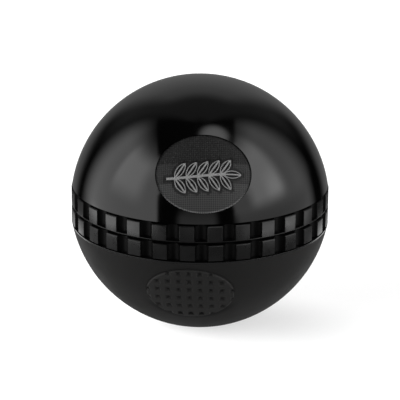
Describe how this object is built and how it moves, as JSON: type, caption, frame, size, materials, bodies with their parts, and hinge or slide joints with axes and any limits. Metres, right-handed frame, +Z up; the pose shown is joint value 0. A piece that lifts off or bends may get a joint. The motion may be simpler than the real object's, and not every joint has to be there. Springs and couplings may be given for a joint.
{
  "type": "herb grinder",
  "caption": "Ball-shaped herb grinder: glossy storage dome, two toothed plates with square grips that turn on each other, and a rubber-sleeved catch bowl with a sieve.",
  "frame": {"origin": "centre of the flat foot, on the ball's axis", "axes": "+Z up along the axis of turning, from the foot through both plates to the top of the dome; -Y towards the front, where the badge and one grip pad are; +X to the right seen from the front"},
  "size_m": [0.0636, 0.0636, 0.0616],
  "materials": {
    "dome_gloss": "gloss black anodised",
    "badge_matt": "matt dark, finely engraved",
    "plate_black": "satin black anodised",
    "bowl_black": "gloss black anodised",
    "sleeve_rubber": "matt",
    "pad_rubber": "matt",
    "seal_rubber": "smooth",
    "magnet_nickel": "nickel plate",
    "steel": "turned stainless steel",
    "sieve_steel": "stainless screen",
    "ring_plastic": "smooth natural white"
  },
  "bodies": {
    "bowl": {"lower_bowl": "bowl_black", "grip_sleeve": "sleeve_rubber", "grip_pad_front": "pad_rubber", "grip_pad_back": "pad_rubber", "sieve_lower_ring": "steel", "sieve_mesh": "sieve_steel", "sieve_upper_ring": "steel", "sieve_snap_ring": "steel"},
    "lower_seal": {"lower_seal_ring": "seal_rubber"},
    "lower_plate": {"lower_grinding_plate": "plate_black", "lower_teeth": "plate_black", "base_magnet": "magnet_nickel", "base_magnet_screw": "steel"},
    "turning_ring": {"friction_ring": "ring_plastic"},
    "upper_plate": {"upper_grinding_plate": "plate_black", "upper_teeth": "plate_black", "lid_magnet": "magnet_nickel", "lid_magnet_screw": "steel"},
    "upper_seal": {"upper_seal_ring": "seal_rubber"},
    "dome": {"upper_dome": "dome_gloss", "emblem_badge": "badge_matt"}
  },
  "joints": [
    {"name": "bowl_thread_rise", "type": "slide", "parent": "bowl", "child": "lower_seal", "axis": [0, 0, 1], "range_m": [0, 0.02]},
    {"name": "bowl_unscrew", "type": "hinge", "parent": "lower_seal", "child": "lower_plate", "pos_m": [0, 0, 0.0254], "axis": [0, 0, 1], "range_deg": [0, 720]},
    {"name": "lid_lift", "type": "slide", "parent": "lower_plate", "child": "turning_ring", "axis": [0, 0, 1], "range_m": [0, 0.03]},
    {"name": "grind", "type": "hinge", "parent": "turning_ring", "child": "upper_plate", "pos_m": [0, 0, 0.0299], "axis": [0, 0, 1], "continuous": true},
    {"name": "dome_thread_rise", "type": "slide", "parent": "upper_plate", "child": "upper_seal", "axis": [0, 0, 1], "range_m": [0, 0.02]},
    {"name": "dome_unscrew", "type": "hinge", "parent": "upper_seal", "child": "dome", "pos_m": [0, 0, 0.0347], "axis": [0, 0, 1], "range_deg": [0, 720]}
  ],
  "couplings": [
    {"joint": "bowl_thread_rise", "follows": "bowl_unscrew", "m_per_rad": 0.0015915},
    {"joint": "dome_thread_rise", "follows": "dome_unscrew", "m_per_rad": 0.0015915}
  ]
}
